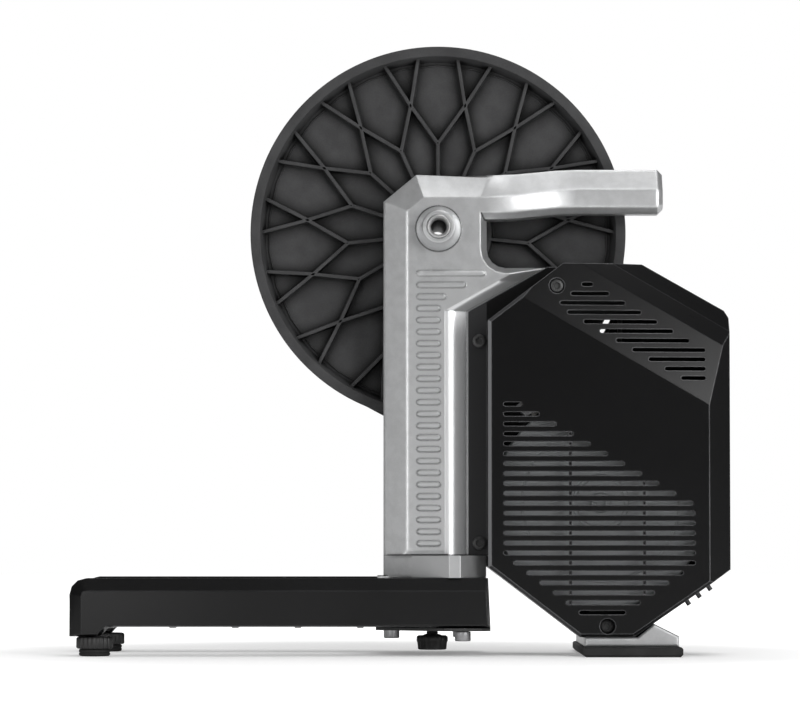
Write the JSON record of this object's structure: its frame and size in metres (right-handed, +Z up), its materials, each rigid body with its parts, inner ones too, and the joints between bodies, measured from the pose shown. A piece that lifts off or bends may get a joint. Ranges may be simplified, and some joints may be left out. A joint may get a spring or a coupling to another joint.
{
  "type": "direct drive bike trainer",
  "caption": "Indoor direct drive trainer: cast column with carry handle, ribbed belt disc, vented faceted covers, flywheel with magnet brake, folding front legs and a rear foot bar.",
  "frame": {"origin": "middle of the footprint, on the floor", "axes": "+X from the front legs towards the rear foot, +Y towards the drive side, away from the camera, +Z up"},
  "size_m": [0.5274, 0.196, 0.4972],
  "materials": {
    "cast_silver": "painted die casting, satin silver",
    "rubber": "matt rubber",
    "disc_black": "matt black coated casting",
    "steel": "turned",
    "bearing_steel": "ground",
    "anodised_black": "black anodised",
    "flywheel_grey": "turned, darkened",
    "magnet": "nickel plated",
    "black_steel": "black zinc",
    "leg_black": "black, half gloss",
    "bush": "moulded",
    "knob_black": "moulded",
    "cover_black": "satin moulded",
    "board_green": "solder mask",
    "clear_plastic": "frosted light pipe"
  },
  "bodies": {
    "frame": {"frame_casting": "cast_silver", "main_axle": "steel", "near_end_cap": "steel", "drive_end_cap": "steel", "disc_bearing_near": "bearing_steel", "disc_bearing_far": "bearing_steel", "shaft_bearing_near": "bearing_steel", "shaft_bearing_far": "bearing_steel", "drive_belt": "rubber", "brake_motor": "black_steel", "near_pivot_bolt": "steel", "near_plate_bolt": "steel", "far_pivot_bolt": "steel", "far_plate_bolt": "steel", "pivot_plate": "black_steel", "side_cover": "cover_black", "drive_side_cover": "cover_black", "cover_screw_1": "black_steel", "cover_screw_2": "black_steel", "cover_screw_3": "black_steel", "cover_screw_4": "black_steel", "drive_cover_screw_1": "black_steel", "drive_cover_screw_2": "black_steel", "drive_cover_screw_3": "black_steel", "drive_cover_screw_4": "black_steel", "rear_foot": "leg_black", "rear_cap_near": "cast_silver", "rear_cap_far": "cast_silver", "rear_foot_sole": "rubber", "rear_foot_bolt_1": "steel", "rear_foot_bolt_2": "steel", "circuit_board": "board_green", "status_light_1": "clear_plastic", "status_light_2": "clear_plastic", "status_light_3": "clear_plastic", "power_inlet": "knob_black"},
    "flywheel": {"flywheel": "flywheel_grey", "flywheel_shaft": "steel", "drive_pulley": "anodised_black"},
    "disc": {"pulley_disc": "disc_black"},
    "freehub": {"freehub_body": "anodised_black"},
    "brake": {"brake_carrier": "steel", "brake_magnet_1": "magnet", "brake_magnet_2": "magnet", "brake_magnet_3": "magnet", "brake_push_rod": "steel"},
    "near_leg": {"near_leg": "leg_black", "near_leg_bush": "bush"},
    "far_leg": {"far_leg": "leg_black", "far_leg_bush": "bush"},
    "near_foot": {"near_foot_knob": "knob_black", "near_foot_stud": "steel", "near_foot_pad": "rubber"},
    "far_foot": {"far_foot_knob": "knob_black", "far_foot_stud": "steel", "far_foot_pad": "rubber"},
    "centre_foot": {"centre_foot": "knob_black"}
  },
  "joints": [
    {"name": "near_leg_fold", "type": "hinge", "parent": "frame", "child": "near_leg", "pos_m": [0.04965, -0.0635, 0.04], "axis": [0, 0, 1], "range_deg": [0, 60]},
    {"name": "far_leg_fold", "type": "hinge", "parent": "frame", "child": "far_leg", "pos_m": [0.04965, 0.0635, 0.04], "axis": [0, 0, 1], "range_deg": [-60, 0]},
    {"name": "flywheel_spin", "type": "hinge", "parent": "frame", "child": "flywheel", "pos_m": [0.16005, 0, 0.1224], "axis": [0, 1, 0], "continuous": true},
    {"name": "disc_spin", "type": "hinge", "parent": "frame", "child": "disc", "pos_m": [0.03065, 0, 0.3435], "axis": [0, 1, 0], "continuous": true},
    {"name": "freehub_spin", "type": "hinge", "parent": "disc", "child": "freehub", "pos_m": [0.03065, 0, 0.3435], "axis": [0, 1, 0], "continuous": true},
    {"name": "brake_slide", "type": "slide", "parent": "frame", "child": "brake", "axis": [-0.342, 0, 0.9397], "range_m": [0, 0.008]},
    {"name": "near_foot_height", "type": "slide", "parent": "near_leg", "child": "near_foot", "axis": [0, 0, 1], "range_m": [-0.008, 0]},
    {"name": "far_foot_height", "type": "slide", "parent": "far_leg", "child": "far_foot", "axis": [0, 0, 1], "range_m": [-0.008, 0]},
    {"name": "centre_foot_height", "type": "slide", "parent": "frame", "child": "centre_foot", "axis": [0, 0, 1], "range_m": [-0.008, 0]}
  ],
  "couplings": [
    {"joint": "disc_spin", "follows": "flywheel_spin", "ratio": 0.1132}
  ]
}
